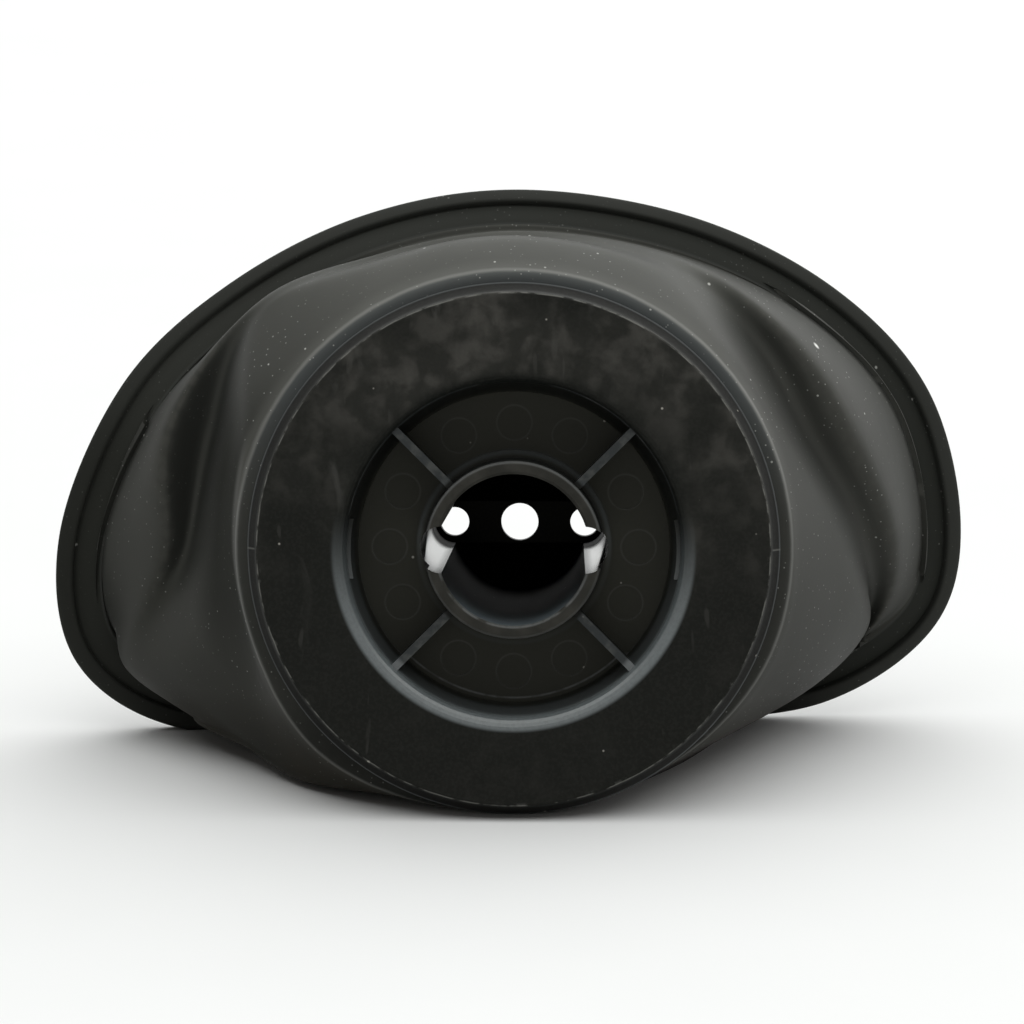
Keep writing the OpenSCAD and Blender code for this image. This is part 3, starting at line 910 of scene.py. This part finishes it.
def fold_values(front, normal):
    """How sharply the front is folded towards the viewer, from 0 to 1 a millimetre"""
    bend = (np.roll(front, -1, axis=0) + np.roll(front, 1, axis=0)) / 2 - front
    step = lengths(np.roll(front, -1, axis=0) - front) + BEND_ROOM
    sharpness = (bend * normal).sum(axis=2) / step**2 * MM
    sharpness[[0, -1]] = 0
    return np.clip(sharpness, 0, 1)


class DIAPHRAGM_OT_rubber(bpy.types.Operator):
    """Loft the rubber and hide its plain solid"""

    bl_idname = "diaphragm.rubber"
    bl_label = "Rubber Diaphragm"

    def execute(self, context):
        lines, values = rubber_lines(context.scene.diaphragm_sizes)
        piece = closed_loft("rubber_diaphragm", lines, values)
        piece.data.materials.append(rubber_material(context.scene.rubber_finish))
        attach(piece, "root")
        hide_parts("diaphragm")
        return {"FINISHED"}


class DIAPHRAGM_OT_slide(bpy.types.Operator):
    """Give the slide its moulded-plastic finish"""

    bl_idname = "diaphragm.slide"
    bl_label = "Vacuum Slide"

    def execute(self, context):
        slide = frame["nodes"]["vacuum_slide"]
        slide.data.materials.clear()
        slide.data.materials.append(plastic_material(context.scene.plastic_finish))
        return {"FINISHED"}


# Camera: millimetres to the right of the face's middle and above it, of the eye and of its target
EYE = (4.98, 22.35)
TARGET = (-0.14, 3.54)
SENSOR_W = 36
CLIP_START = 0.01
FLOOR_REACH = 6.0
FLOOR_PALER = 1.03
# Lights: places in metres, directions that they shine in, and colours
OVERHEAD_SPREAD = math.radians(105)
OVERHEAD_COLOUR = (0.98, 1, 0.99)
OVERHEAD_PLACE, OVERHEAD_TOWARDS = (0, 0, 1), (-0.06, -0.2, -0.97)
SIDE_W, SIDE_H = 1.6, 1.0
SIDE_PLACE, SIDE_TOWARDS = (1.1, 0.7, 0.5), (-1, -0.6, -0.4)
WHITE = (1, 1, 1, 1)
WARM = (1, 0.97, 0.92, 1)


def in_front(right_up, distance=0.0):
    """Place at a distance in front of the face, given in millimetres to the right and up"""
    right, up = right_up
    return FACE + right * MM * RIGHT + up * MM * UP - distance * ALONG


class DIAPHRAGM_OT_stage(bpy.types.Operator):
    """Set the camera, the floor, the light and the surroundings"""

    bl_idname = "diaphragm.stage"
    bl_label = "Stage"

    def execute(self, context):
        stage = context.scene.stage_settings
        self.add_camera(context, stage)
        self.add_floor(stage)
        self.add_lights(stage)
        self.set_world(context, stage)
        context.scene.view_settings.view_transform = "Standard"
        return {"FINISHED"}

    def add_camera(self, context, stage):
        eye, target = in_front(EYE, stage.distance), in_front(TARGET)
        data = bpy.data.cameras.new("camera")
        data.lens = stage.lens
        data.sensor_width = SENSOR_W
        data.clip_start = CLIP_START
        camera = bpy.data.objects.new("camera", data)
        camera.location = eye
        camera.rotation_euler = Vector(target - eye).to_track_quat("-Z", "Y").to_euler()
        context.scene.collection.objects.link(camera)
        context.scene.camera = camera

    def add_floor(self, stage):
        mesh = bpy.data.meshes.new("floor")
        corners = [(-1, -1), (1, -1), (1, 1), (-1, 1)]
        corners = [(x * FLOOR_REACH, y * FLOOR_REACH, 0) for x, y in corners]
        mesh.from_pydata(corners, [], [(0, 1, 2, 3)])
        floor = bpy.data.objects.new("floor", mesh)
        bpy.context.scene.collection.objects.link(floor)
        material, g = new_material("floor")
        colour = g.mix(g.noise(40, 2), stage.floor, [c * FLOOR_PALER for c in stage.floor])
        g.output(g.node("ShaderNodeBsdfDiffuse", {}, {"Color": colour}))
        mesh.materials.append(material)

    def add_lights(self, stage):
        """Broad soft light from above, and a soft lamp at the right"""
        sun = bpy.data.lights.new("overhead", "SUN")
        sun.energy = stage.sun
        sun.angle = OVERHEAD_SPREAD
        sun.color = OVERHEAD_COLOUR
        self.add_lamp("overhead", sun, OVERHEAD_PLACE, OVERHEAD_TOWARDS)
        side = bpy.data.lights.new("side", "AREA")
        side.shape = "RECTANGLE"
        side.size = SIDE_W
        side.size_y = SIDE_H
        side.energy = stage.side * math.pi * SIDE_W * SIDE_H
        self.add_lamp("side", side, SIDE_PLACE, SIDE_TOWARDS)

    @staticmethod
    def add_lamp(name, data, location, towards):
        lamp = bpy.data.objects.new(name, data)
        lamp.location = location
        lamp.rotation_euler = Vector(towards).to_track_quat("-Z", "Y").to_euler()
        lamp.visible_camera = False
        bpy.context.scene.collection.objects.link(lamp)

    def set_world(self, context, stage):
        """White where the camera or a reflection sees it, and dim and warm as a light"""
        world = bpy.data.worlds.new("surroundings")
        world.use_nodes = True
        context.scene.world = world
        g = Graph(world.node_tree)
        camera, glossy, transmission = (
            g.node("ShaderNodeLightPath", {}, {}, f"Is {kind} Ray")
            for kind in ("Camera", "Glossy", "Transmission")
        )
        seen = camera.either(glossy).either(transmission)
        plain = g.node("ShaderNodeBackground", {}, {"Color": WHITE, "Strength": 1})
        dim = g.node("ShaderNodeBackground", {}, {"Color": WARM, "Strength": stage.ambient})
        shader = g.node("ShaderNodeMixShader", {}, [seen, dim, plain])
        g.node("ShaderNodeOutputWorld", {}, {"Surface": shader})


class DIAPHRAGM_PT_panel(bpy.types.Panel):
    """Sizes and finishes of the diaphragm"""

    bl_idname = "DIAPHRAGM_PT_panel"
    bl_label = "Carburettor Diaphragm"
    bl_space_type = "VIEW_3D"
    bl_region_type = "UI"
    bl_category = "Diaphragm"

    def draw(self, context):
        for name in PROPERTIES:
            group = getattr(context.scene, name)
            box = self.layout.box()
            box.label(text=group.__doc__ or name)
            for key in group.__annotations__:
                box.prop(group, key)
        for operator in OPERATORS:
            self.layout.operator(operator.bl_idname)


PROPERTIES = {
    "diaphragm_sizes": DiaphragmSizes,
    "rubber_finish": RubberFinish,
    "plastic_finish": PlasticFinish,
    "stage_settings": StageSettings,
}
OPERATORS = (DIAPHRAGM_OT_stage, DIAPHRAGM_OT_slide, DIAPHRAGM_OT_rubber)
CLASSES = (*PROPERTIES.values(), *OPERATORS, DIAPHRAGM_PT_panel)


def register():
    for made in CLASSES:
        bpy.utils.register_class(made)
    for name, group in PROPERTIES.items():
        setattr(bpy.types.Scene, name, PointerProperty(type=group))


def unregister():
    for name in PROPERTIES:
        delattr(bpy.types.Scene, name)
    for made in reversed(CLASSES):
        bpy.utils.unregister_class(made)


def main():
    register()
    bpy.ops.diaphragm.stage()
    bpy.ops.diaphragm.slide()
    bpy.ops.diaphragm.rubber()


if __name__ == "__main__":
    main()
